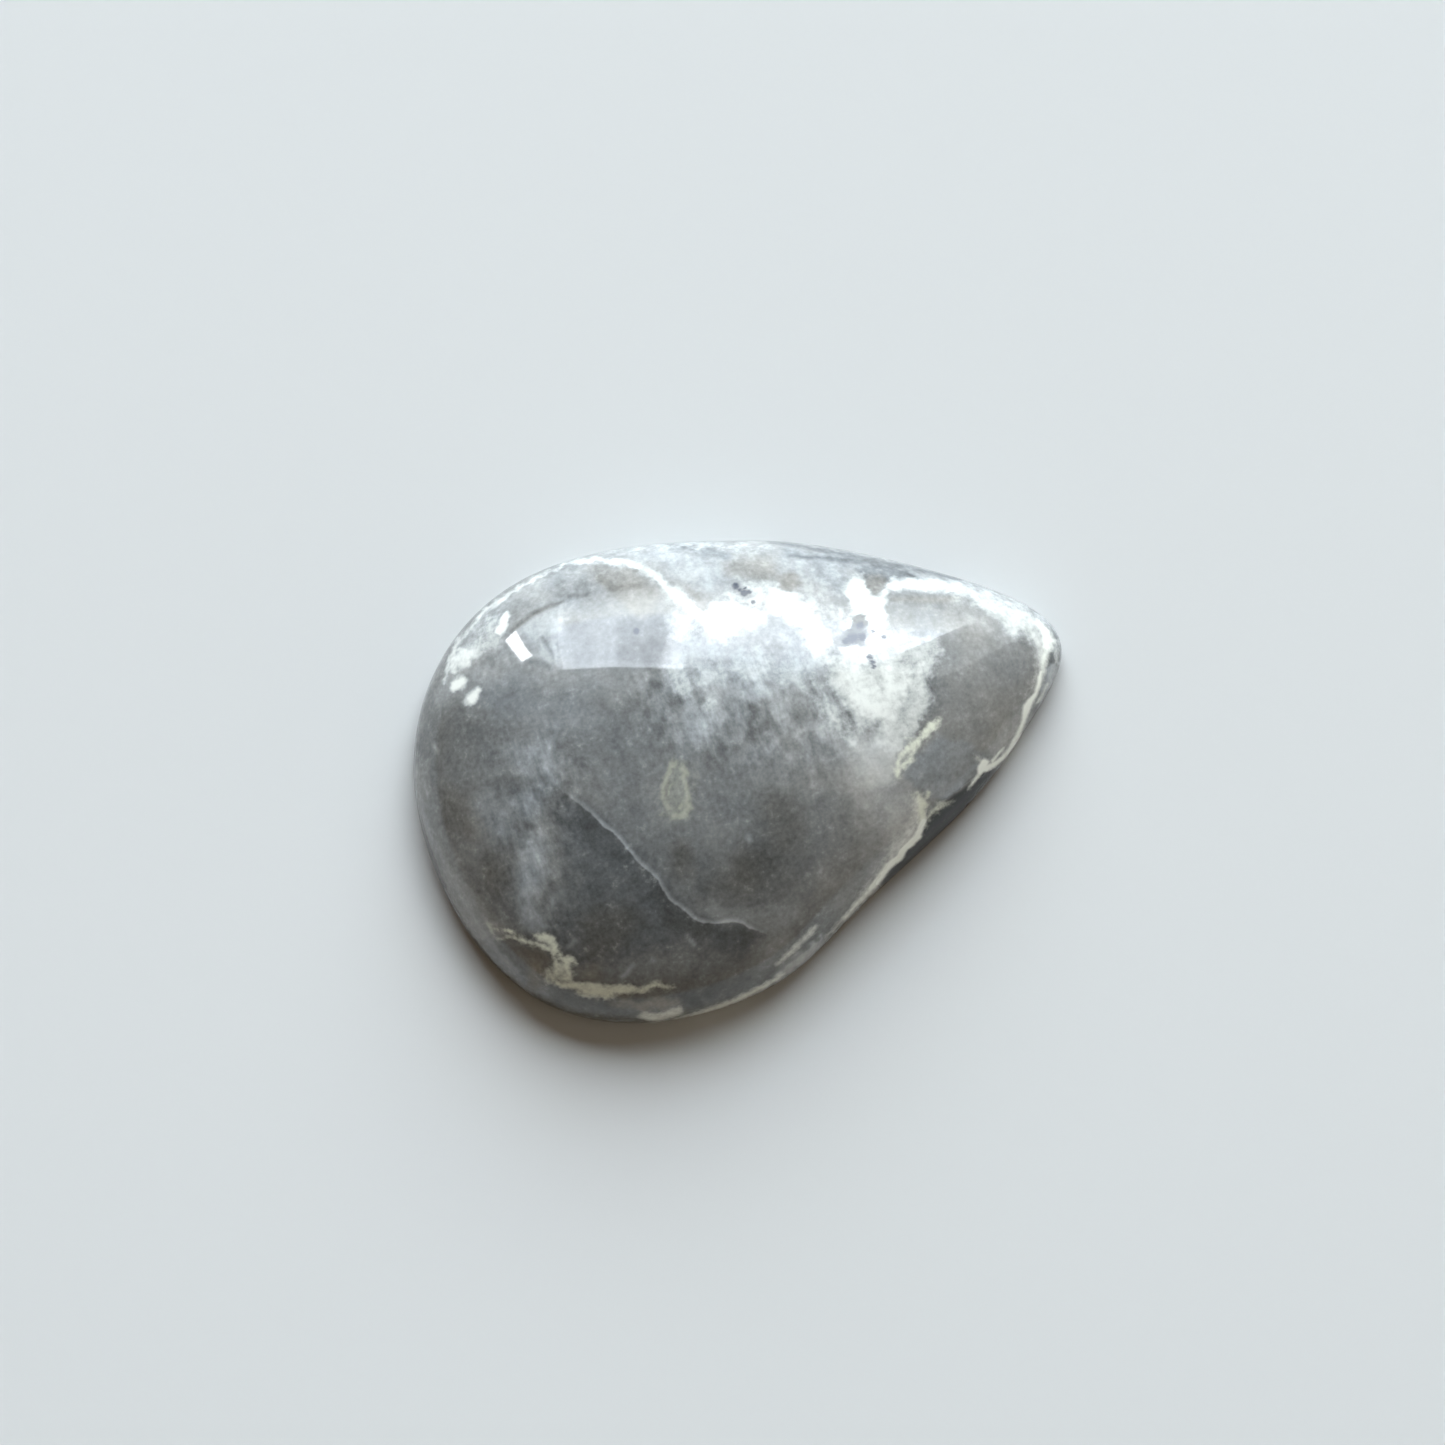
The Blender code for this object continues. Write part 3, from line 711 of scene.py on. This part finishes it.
def shown(pixels, inside, fade, line):
    """How much of one mark shows at each pixel: half on its outline, all or nothing a fade away from it."""
    reach = fade + max(point[2] if len(point) > 2 else 0 for point in line)
    corners = np.array(line, float)[:, :2]
    near = np.all((pixels > corners.min(axis=0) - reach) & (pixels < corners.max(axis=0) + reach), axis=1)
    amount = np.zeros(len(pixels))
    amount[near] = eased(0.5 + inside(pixels[near], line) / (2 * fade))
    return amount


def strongest(pixels, patches, strokes, patch_drift=PATCH_DRIFT, stroke_drift=STROKE_DRIFT):
    """The strongest of several marks at each pixel."""
    field = np.zeros(len(pixels))
    kinds = ((inside_patch, patch_drift, patches), (inside_stroke, stroke_drift, strokes))
    for inside, reach, marks in kinds:
        astray = drifted(pixels, reach)
        for strength, fade, line in marks:
            field = np.maximum(field, strength * shown(astray, inside, fade, line))
    return field


def vein_side(pixels):
    """How far above the vein each pixel is, negative below it, and how strong the vein is there."""
    gap, piece, share = distance_to_line(pixels, VEIN, False)
    line = np.array(VEIN, float)
    run = np.diff(line, axis=0)[piece]
    offset = pixels - line[:-1][piece]
    below = np.sign(run[:, 0] * offset[:, 1] - run[:, 1] * offset[:, 0])
    along = piece + share
    ends = eased(along / VEIN_ENDS[0]) * eased((len(VEIN) - 1 - along) / VEIN_ENDS[1])
    return np.clip(-below * gap, -VEIN_REACH, VEIN_REACH), ends * eased((VEIN_REACH - gap) / VEIN_REACH)


def mark_fields(pixels):
    """Every field that the material reads, by name, as one number for each point."""
    above, vein = vein_side(drifted(pixels, LINE_DRIFT))
    radii_off = [np.hypot(pixels[:, 0] - x, pixels[:, 1] - y) / radius for x, y, radius in SPECKS]
    cloud = strongest(pixels, WHITE_PATCHES, WHITE_AND_GLINT_STROKES)
    clear = strongest(pixels, CLEAR_PATCHES, CLEAR_STROKES)
    fields = {
        "white": cloud - clear,
        "cream": strongest(pixels, CREAM_PATCHES, CREAM_STROKES),
        "ivory": strongest(pixels, IVORY_PATCHES, IVORY_STROKES, LINE_DRIFT, LINE_DRIFT),
        "ring": strongest(pixels, RING_PATCHES, RING_STROKES),
        "haze": strongest(pixels, HAZE_PATCHES, ()),
        "ground": strongest(pixels, (), GROUND_STROKES),
        "specks": np.maximum(SPECK_FIELD - np.min(radii_off, axis=0), 0.0),
        "above_vein": above,
        "vein": vein,
        "tone": np.full(len(pixels), BASE_TONE),
        "warmth": np.full(len(pixels), BASE_WARMTH),
    }
    kinds = ((inside_patch, PATCH_DRIFT, TONE_AND_PAINTED_REFLECTION_PATCHES), (inside_stroke, LINE_DRIFT, TONE_AND_PAINTED_LIGHT_STROKES))
    for inside, reach, marks in kinds:
        astray = drifted(pixels, reach)
        for light, warm, fade, line in marks:
            amount = shown(astray, inside, fade, line)
            fields["tone"] += amount * (light - fields["tone"])
            fields["warmth"] += amount * (warm - fields["warmth"])
    return fields


# Making things


def linear(hex_colour):
    """An sRGB hex colour as linear red, green, blue and alpha."""
    channels = np.array([int(hex_colour[i:i + 2], 16) for i in (1, 3, 5)]) / 255
    curved = np.where(channels <= 0.04045, channels / 12.92, ((channels + 0.055) / 1.055) ** 2.4)
    return (*curved.tolist(), 1.0)


def mesh_object(name, points, faces):
    """A smooth mesh object at the origin, from points in millimetres."""
    mesh = bpy.data.meshes.new(name)
    mesh.from_pydata((points * MM).tolist(), [], faces)
    mesh.shade_smooth()
    made = bpy.data.objects.new(name, mesh)
    bpy.context.scene.collection.objects.link(made)
    return made


def make_stone():
    """The polished stone, with its marks kept on its surface."""
    low, high = (np.array(corner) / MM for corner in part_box(STONE_NODE))
    points, faces = stone_surface(low, high)
    stone = mesh_object("polished_stone", points, faces)
    rim_gap, _, _ = distance_to_line(points[:, :2], girdle_outline(low, high)[::RIM_STEP], True)
    fields = mark_fields(wandered(in_photo(points), points, rim_gap))
    # The bevel and the back are ground too
    fields["ground"] = np.maximum(fields["ground"], eased(1 - points[:, 2] / BACK_BEVEL))
    for name, values in fields.items():
        kept = stone.data.attributes.new(name, "FLOAT", "POINT")
        kept.data.foreach_set("value", values.astype(np.float32))
    stone.data.materials.append(oxide_polished_serpentine())
    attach(stone, "root")
    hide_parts(STONE_NODE)


def add_node(tree, kind, inputs=(), output=0, **settings):
    """Adds a node with its settings. An input is a value, or another node's output to link to it."""
    node = tree.nodes.new(kind)
    for name, value in settings.items():
        setattr(node, name, value)
    for name, value in dict(inputs).items():
        if isinstance(value, bpy.types.NodeSocket):
            tree.links.new(value, node.inputs[name])
        else:
            node.inputs[name].default_value = value
    return node.outputs[output]


# The numbers of a mix node's two colours and of its result
FIRST, SECOND, MIXED = 6, 7, 2
# The patterns in the stone: the size in millimetres of the lumps that each is made of, its detail and
# roughness. The streaks are drawn out along the way that is up in the photograph
PATTERNS = (
    ("cloud", 3.4, 3.0, 0.55),
    ("mottle", 1.1, 4.0, 0.5),
    ("grain", 0.34, 3.0, 0.6),
    ("streak", 0.8, 5.0, 0.6),
)
STREAK_STRETCH = (1.0, 0.34, 0.6)
# What the noise swings about
NOISE_MIDDLE = 0.5
# The fields kept on the surface, and how much of which pattern frays the edge of a mark
FIELDS = ("white", "cream", "ivory", "ring", "specks", "tone", "warmth", "haze", "above_vein", "vein",
          "ground")
FRAYING = (
    ("white", "mottle", 0.80),
    ("white", "grain", 0.65),
    ("white", "streak", 0.55),
    ("cream", "grain", 1.0),
    ("cream", "mottle", 0.8),
    ("ivory", "grain", 0.5),
    ("ivory", "mottle", 0.2),
    ("ring", "grain", 0.4),
    ("specks", "grain", 1.2),
    ("specks", "mottle", 0.8),
    ("above_vein", "mottle", 4.0),
    ("warmth", "cloud", 0.6),
    ("haze_streaks", "streak", 0.42),
    ("haze_streaks", "mottle", 0.20),
    ("tone", "cloud", 0.14),
    ("tone", "mottle", 0.14),
    ("tone", "grain", 0.19),
    ("tone", "streak", 0.06),
)
# What shows of a mark: from nothing at the first value of its field to this much at the second one
SHOWING = (
    ("veil", "white", 0.10, 0.70, 0.30),
    ("chalk_and_glints", "white", 0.32, 1.30, 1.0),
    ("ring", "ring", 0.05, 1.0, 0.5),
    ("cream", "cream", 0.12, 1.20, 1.0),
    ("ivory", "ivory", 0.10, 0.95, 1.0),
    ("specks", "specks", 0.2, 1.0, 0.9),
    ("over_vein", "above_vein", -1.2, 1.0, 1.0),
    ("vein_line", "above_vein", 6.0, 0.5, 0.17),
    ("ground", "ground", 0.0, 1.0, 1.0),
)
# The shade of each kind of mark, in the order that they lie over one another
SHADES = (
    ("veil", "#c3cccd"),
    ("chalk_and_glints", "#d9deda"),
    ("ring", "#b6bba6"),
    ("cream", "#dae0d1"),
    ("ivory", "#f2f8f0"),
    ("specks", "#3a4150"),
)
# What the grey is multiplied by where it is coolest and where it is warmest
COOL_TINT = (0.90, 1.0, 1.06, 1.0)
WARM_TINT = (1.03, 1.0, 0.89, 1.0)
# The dark side of the vein, as a change of tone
VEIN_SHADE = -0.04
# The power that turns an even step of tone into the light that gives the eye an even step
TONE_POWER = 2.2
# How rough the polished dome and the ground wall and back are
POLISH = 0.045
GROUND_BACK = 0.38
SERPENTINE_IOR = 1.56


def oxide_polished_serpentine():
    """Serpentine ground to a dome and polished with oxide on leather: a wet gloss over cloudy grey.

    Its colour is a tone from black to white, raised to the power that the eye's steps follow, times a tint
    from cool to warm; in a few places near the rim that tone is painted shade or a painted reflection. The
    marks lie over it in their own shades, and three small white ones are painted glints.
    """
    material = bpy.data.materials.new("oxide_polished_serpentine")
    material.use_nodes = True
    tree = material.node_tree
    shader = tree.nodes["Principled BSDF"]
    place = add_node(tree, "ShaderNodeTexCoord", output="Object")
    drawn_out = add_node(tree, "ShaderNodeMapping", {
        "Vector": place, "Rotation": (0.0, 0.0, np.radians(-CAMERA_TURN)), "Scale": STREAK_STRETCH})
    swings = {}
    for name, size, detail, roughness in PATTERNS:
        noise = add_node(tree, "ShaderNodeTexNoise", {
            "Vector": drawn_out if name == "streak" else place, "Scale": 1 / (size * MM), "Detail": detail,
            "Roughness": roughness})
        swings[name] = add_node(tree, "ShaderNodeMath", {0: noise, 1: NOISE_MIDDLE}, operation="SUBTRACT")
    marks = {"haze_streaks": 0.0}
    for name in FIELDS:
        marks[name] = add_node(tree, "ShaderNodeAttribute", output="Fac", attribute_name=name)
    for name, pattern, share in FRAYING:
        marks[name] = add_node(tree, "ShaderNodeMath", {
            0: swings[pattern], 1: share, 2: marks[name]}, operation="MULTIPLY_ADD")
    shows = {}
    for name, mark, low, high, most in SHOWING:
        shows[name] = add_node(tree, "ShaderNodeMapRange", {
            "Value": marks[mark], "From Min": low, "From Max": high, "To Max": most},
            interpolation_type="SMOOTHSTEP")
    side = add_node(tree, "ShaderNodeMapRange", {
        "Value": shows["over_vein"], "To Min": VEIN_SHADE, "To Max": shows["vein_line"]})
    tone = add_node(tree, "ShaderNodeMath", {
        0: side, 1: marks["vein"], 2: marks["tone"]}, operation="MULTIPLY_ADD")
    tone = add_node(tree, "ShaderNodeMath", {
        0: marks["haze_streaks"], 1: marks["haze"], 2: tone}, operation="MULTIPLY_ADD")
    albedo = add_node(tree, "ShaderNodeMath", {0: tone, 1: TONE_POWER}, operation="POWER")
    tint = add_node(tree, "ShaderNodeMix", {
        "Factor": marks["warmth"], FIRST: COOL_TINT, SECOND: WARM_TINT}, MIXED, data_type="RGBA")
    colour = add_node(tree, "ShaderNodeVectorMath", {"Vector": tint, "Scale": albedo}, operation="SCALE")
    for name, shade in SHADES:
        colour = add_node(tree, "ShaderNodeMix", {
            "Factor": shows[name], FIRST: colour, SECOND: linear(shade)}, MIXED, data_type="RGBA")
    roughness = add_node(tree, "ShaderNodeMapRange", {
        "Value": shows["ground"], "To Min": POLISH, "To Max": GROUND_BACK})
    tree.links.new(colour, shader.inputs["Base Color"])
    tree.links.new(roughness, shader.inputs["Roughness"])
    shader.inputs["IOR"].default_value = SERPENTINE_IOR
    return material


# The paper under the stone, the light and the camera

PAPER_RADIUS = 700.0
PAPER_ROUND = 96
PAPER_OUT = 24
PAPER_COLOUR = "#c0c4c5"
PAPER_ROUGHNESS = 0.9
PAPER_GLOSS = 0.2


def make_paper():
    """The sheet: a flat disc about the stone."""
    out = np.linspace(0.0, 1.0, PAPER_OUT + 1)[1:, None] * PAPER_RADIUS
    turn = np.linspace(0.0, 2 * np.pi, PAPER_ROUND, endpoint=False)
    rings = np.stack([out * np.cos(turn), out * np.sin(turn), np.zeros((PAPER_OUT, PAPER_ROUND))], axis=-1)
    points = np.concatenate([[[0.0, 0.0, 0.0]], rings.reshape(-1, 3)])
    here = 1 + np.arange(PAPER_OUT * PAPER_ROUND).reshape(PAPER_OUT, PAPER_ROUND)
    beside = np.roll(here, -1, axis=1)
    quads = np.stack([here[:-1], here[1:], beside[1:], beside[:-1]], axis=-1).reshape(-1, 4)
    middle = np.column_stack([np.zeros(PAPER_ROUND, int), here[0], beside[0]])
    paper = mesh_object("pale_paper", points, [*quads.tolist(), *middle.tolist()])
    paper.data.materials.append(matt_paper())


def matt_paper():
    """Plain matt paper: hardly any gloss, a cool pale grey."""
    material = bpy.data.materials.new("matt_paper")
    material.use_nodes = True
    shader = material.node_tree.nodes["Principled BSDF"]
    shader.inputs["Base Color"].default_value = linear(PAPER_COLOUR)
    shader.inputs["Roughness"].default_value = PAPER_ROUGHNESS
    shader.inputs["Specular IOR Level"].default_value = PAPER_GLOSS
    return material


# The window wall: how far it is turned to the right of the way over the paper that is up in the
# photograph, how far it leans towards the stone, and how far off and how high its foot is
WALL_TURN = 18.0
WALL_LEAN = 21.5
WALL_AWAY = 1500.0
WALL_FOOT = 626.0
# Each pane has its left, right, lower and upper edges on the wall, its brightness and its colour, and
# some have how far they stand before the wall and how far they lean sideways. No two overlapping lights
# are in one plane, where one would hide the other
WINDOW_PANES = (
    ("sky_edge", -1480.0, -1394.0, 450.0, 1403.0, 4.0, "#ebf5ff"),
    ("sky_left", -1394.0, -900.0, 550.0, 1403.0, 9.4, "#ebf5ff"),
    ("sky_middle", -900.0, -450.0, 550.0, 1403.0, 7.4, "#ebf5ff"),
    ("sky_right", -450.0, 560.0, 550.0, 980.0, 9.4, "#ebf5ff"),
    ("sky_right_upper", -450.0, 560.0, 980.0, 1100.0, 7.0, "#ebf5ff"),
    ("sky_right_higher", -450.0, 560.0, 1100.0, 1230.0, 4.6, "#ebf5ff"),
    ("sky_right_highest", -450.0, 560.0, 1230.0, 1370.0, 2.2, "#ebf5ff"),
    ("low_upper", -1394.0, 560.0, 420.0, 550.0, 8.0, "#f2f8f8"),
    ("low_middle", -1394.0, 560.0, 290.0, 420.0, 6.2, "#f2f8f8"),
    ("low_lower", -1394.0, 560.0, 160.0, 290.0, 4.2, "#f2f8f8"),
    ("low_foot", -1394.0, 560.0, 30.0, 160.0, 2.2, "#f2f8f8"),
    ("right_pane", 560.0, 1100.0, 0.0, 1303.0, 1.8, "#f2f8f8"),
    ("bright_bar", -600.0, -500.0, 330.0, 1403.0, 4.0, "#f4f8ff", 5.0),
    ("side_pane", -2200.0, -1900.0, 250.0, 1110.0, 18.0, "#f8fbff", 0.0, -20.0),
)
# The daylight itself, which lies lower than the panes that the polish mirrors
DAYLIGHT = ("daylight", -1400.0, 530.0, -300.0, 1100.0, 10.5, "#eff6fc", 20.0)
# Some daylight comes back from the near right: how far clockwise it is from the way that is up in the
# photograph, how many degrees high, how far off, its side, its brightness and its colour
FILL_TURN = 112.0
FILL_RISE = 32.0
FILL_AWAY = 1500.0
FILL_SIDE = 1300.0
FILL_BRIGHTNESS = 0.56
FILL_COLOUR = "#f8f2e6"
# The dim surroundings: the light of the walls, of the ceiling, and of what lies past the paper's edge
WALL_COLOUR = "#94826c"
CEILING_COLOUR = "#5c5043"
BEYOND_COLOUR = "#dfe1e5"


def add_lamp(name, width, height, brightness, colour, place, x_axis, y_axis):
    """A rectangular light that the camera doesn't see. Its power is brightness times area times pi."""
    lamp = bpy.data.lights.new(name, "AREA")
    lamp.shape = "RECTANGLE"
    lamp.size = width * MM
    lamp.size_y = height * MM
    lamp.energy = np.pi * brightness * lamp.size * lamp.size_y
    lamp.color = linear(colour)[:3]
    made = bpy.data.objects.new(name, lamp)
    made.location = place * MM
    made.rotation_euler = Matrix((x_axis, y_axis, np.cross(x_axis, y_axis))).transposed().to_euler()
    made.visible_camera = False
    bpy.context.scene.collection.objects.link(made)
    return made


def wall_light(name, left, right, lower, upper, brightness, colour, before=0.0, sideways=0.0):
    """One rectangular light along the window wall, facing the stone."""
    turn, lean, roll = np.radians([CAMERA_TURN - WALL_TURN, WALL_LEAN, sideways])
    across = np.array([np.cos(turn), np.sin(turn), 0.0])
    away = np.array([-np.sin(turn), np.cos(turn), 0.0])
    climb = np.array([0.0, 0.0, np.cos(lean)]) - away * np.sin(lean)
    foot = away * (WALL_AWAY - before) + np.array([0.0, 0.0, WALL_FOOT])
    x_axis = -across * np.cos(roll) - climb * np.sin(roll)
    y_axis = climb * np.cos(roll) - across * np.sin(roll)
    place = foot + across * (left + right) / 2 + climb * (lower + upper) / 2
    return add_lamp(name, right - left, upper - lower, brightness, colour, place, x_axis, y_axis)


def make_window():
    """The panes, which show in the polish, and the daylight, which lights everything else."""
    for pane in WINDOW_PANES:
        wall_light(*pane).visible_diffuse = False
    wall_light(*DAYLIGHT).visible_glossy = False


def make_fill():
    """The soft light from the near right, which faces the stone and does not show in the polish."""
    turn, rise = np.radians([CAMERA_TURN - FILL_TURN, FILL_RISE])
    way = np.array([-np.sin(turn) * np.cos(rise), np.cos(turn) * np.cos(rise), np.sin(rise)])
    across = np.cross([0.0, 0.0, 1.0], way) / np.cos(rise)
    fill = add_lamp("fill", FILL_SIDE, FILL_SIDE, FILL_BRIGHTNESS, FILL_COLOUR, way * FILL_AWAY, across,
                    np.cross(way, across))
    fill.visible_glossy = False


def make_room():
    """The dim warm room that fills the shadows. Past the paper's edge the camera sees a pale grey."""
    world = bpy.data.worlds.new("room")
    world.use_nodes = True
    tree = world.node_tree
    way = add_node(tree, "ShaderNodeTexCoord", output="Generated")
    height = add_node(tree, "ShaderNodeSeparateXYZ", {0: way}, "Z")
    overhead = add_node(tree, "ShaderNodeMapRange", {"Value": height}, interpolation_type="SMOOTHSTEP")
    room = add_node(tree, "ShaderNodeMix", {
        "Factor": overhead, FIRST: linear(WALL_COLOUR), SECOND: linear(CEILING_COLOUR)}, MIXED,
        data_type="RGBA")
    seen = add_node(tree, "ShaderNodeLightPath", output="Is Camera Ray")
    colour = add_node(tree, "ShaderNodeMix", {
        "Factor": seen, FIRST: room, SECOND: linear(BEYOND_COLOUR)}, MIXED, data_type="RGBA")
    tree.links.new(colour, tree.nodes["Background"].inputs["Color"])
    bpy.context.scene.world = world


def make_camera():
    """The photograph's camera."""
    lens = bpy.data.cameras.new("camera")
    lens.sensor_width = SENSOR_WIDTH
    lens.lens = SENSOR_WIDTH * CAMERA_DISTANCE / FRAME_WIDTH
    camera = bpy.data.objects.new("camera", lens)
    camera.location = CAMERA_PLACE * MM
    camera.rotation_euler = (np.radians(90 - CAMERA_ELEVATION), 0, np.radians(CAMERA_TURN))
    bpy.context.scene.collection.objects.link(camera)
    bpy.context.scene.camera = camera


def main():
    make_camera()
    make_stone()
    make_paper()
    make_window()
    make_fill()
    make_room()
    bpy.context.scene.view_settings.view_transform = "Standard"


main()
